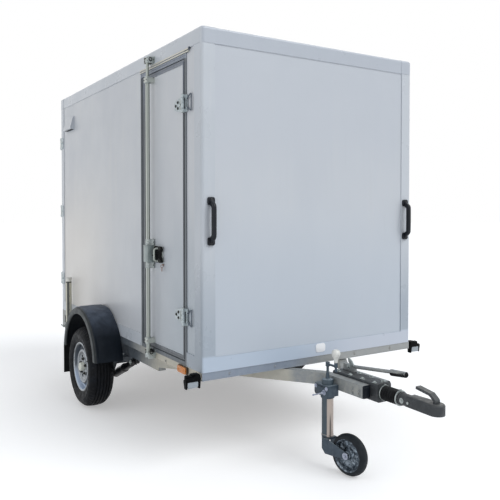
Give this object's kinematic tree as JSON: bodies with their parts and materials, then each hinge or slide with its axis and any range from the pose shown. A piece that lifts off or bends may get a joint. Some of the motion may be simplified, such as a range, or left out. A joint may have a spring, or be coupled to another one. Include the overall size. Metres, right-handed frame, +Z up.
{
  "type": "single-axle enclosed cargo trailer",
  "caption": "White enclosed box trailer with a side door, double rear doors, V-shaped drawbar, jockey wheel and rear prop legs.",
  "frame": {"origin": "on the ground under the middle of the whole trailer", "axes": "+X forward along the drawbar, +Y to the trailer's left, +Z up"},
  "size_m": [3.75, 2.01, 2.467],
  "materials": {
    "panel_white": "smooth gel-coated panel, near white",
    "edge_white": "white coated aluminium edge profile",
    "door_grey": "mid grey anodised door profile",
    "zinc": "bright zinc plate with a pale yellow cast",
    "galvanised": "hot-dip galvanised, matte with spangle",
    "black_plastic": "moulded black plastic",
    "rubber": "black rubber",
    "tyre": "dark tyre rubber",
    "wheel_silver": "silver painted steel",
    "cast_steel": "grey cast and painted steel",
    "plywood": "dark phenolic-faced plywood",
    "lamp_white": "clear white lens",
    "lamp_amber": "amber lens",
    "lamp_red": "red lens",
    "plate_blank": "blank plate"
  },
  "bodies": {
    "trailer": {"corner_posts": "edge_white", "base_rails": "edge_white", "roof_rails": "edge_white", "roof": "panel_white", "wall_front": "panel_white", "wall_left": "panel_white", "wall_right": "panel_white", "floor": "plywood", "side_door_frame": "door_grey", "rear_door_frame": "door_grey", "hinge_brackets": "zinc", "lock_keepers": "zinc", "sill_right": "galvanised", "sill_left": "galvanised", "crossmembers": "galvanised", "drawbar_right": "galvanised", "drawbar_left": "galvanised", "overrun_housing": "cast_steel", "coupling_gaiter": "rubber", "coupling_head": "cast_steel", "handbrake_lever": "galvanised", "axle": "galvanised", "shock_absorber_right": "cast_steel", "shock_absorber_left": "cast_steel", "fender_right": "black_plastic", "fender_left": "black_plastic", "mudflaps": "rubber", "jockey_clamp": "galvanised", "prop_leg_clamps": "galvanised", "position_lamps": "lamp_white", "side_markers": "lamp_amber", "rear_lamps": "lamp_red", "rear_bar": "galvanised", "number_plate": "plate_blank", "vent_cowls": "panel_white", "grab_handles": "black_plastic"},
    "side_leaf": {"side_door": "panel_white", "side_door_trim": "door_grey", "side_door_hinges": "zinc", "side_door_lock": "zinc"},
    "rear_leaf_right": {"rear_door_right": "panel_white", "rear_trim_right": "door_grey", "rear_hinges_right": "zinc", "rear_lock_right": "zinc"},
    "rear_leaf_left": {"rear_door_left": "panel_white", "rear_trim_left": "door_grey", "rear_hinges_left": "zinc", "rear_lock_left": "zinc"},
    "wheel_right": {"tyre_right": "tyre", "rim_right": "wheel_silver", "hub_right": "cast_steel"},
    "wheel_left": {"tyre_left": "tyre", "rim_left": "wheel_silver", "hub_left": "cast_steel"},
    "jockey_stand": {"jockey_tube": "galvanised"},
    "jockey_swivel": {"jockey_fork": "galvanised"},
    "jockey_wheel": {"jockey_tyre": "tyre", "jockey_rim": "galvanised"},
    "leg_right": {"prop_leg_right": "galvanised"},
    "leg_left": {"prop_leg_left": "galvanised"}
  },
  "joints": [
    {"name": "side_door_swing", "type": "hinge", "parent": "trailer", "child": "side_leaf", "pos_m": [0.699, -0.816, 1.515], "axis": [0, 0, 1], "range_deg": [0, 175]},
    {"name": "rear_door_right_swing", "type": "hinge", "parent": "trailer", "child": "rear_leaf_right", "pos_m": [-1.841, -0.792, 1.515], "axis": [0, 0, 1], "range_deg": [0, 240]},
    {"name": "rear_door_left_swing", "type": "hinge", "parent": "trailer", "child": "rear_leaf_left", "pos_m": [-1.841, 0.792, 1.515], "axis": [0, 0, -1], "range_deg": [0, 240]},
    {"name": "wheel_right_spin", "type": "hinge", "parent": "trailer", "child": "wheel_right", "pos_m": [-0.695, -0.9045, 0.2945], "axis": [0, 1, 0], "continuous": true},
    {"name": "wheel_left_spin", "type": "hinge", "parent": "trailer", "child": "wheel_left", "pos_m": [-0.695, 0.9045, 0.2945], "axis": [0, 1, 0], "continuous": true},
    {"name": "jockey_lift", "type": "slide", "parent": "trailer", "child": "jockey_stand", "axis": [0, 0, 1], "range_m": [0, 0.2]},
    {"name": "jockey_turn", "type": "hinge", "parent": "jockey_stand", "child": "jockey_swivel", "pos_m": [1.164, -0.136, 0.18], "axis": [0, 0, 1], "continuous": true},
    {"name": "jockey_spin", "type": "hinge", "parent": "jockey_swivel", "child": "jockey_wheel", "pos_m": [1.32157, -0.10822, 0.115], "axis": [0.1736, -0.9848, 0], "continuous": true},
    {"name": "leg_right_slide", "type": "slide", "parent": "trailer", "child": "leg_right", "axis": [0, 0, -1], "range_m": [0, 0.37]},
    {"name": "leg_left_slide", "type": "slide", "parent": "trailer", "child": "leg_left", "axis": [0, 0, -1], "range_m": [0, 0.37]}
  ]
}
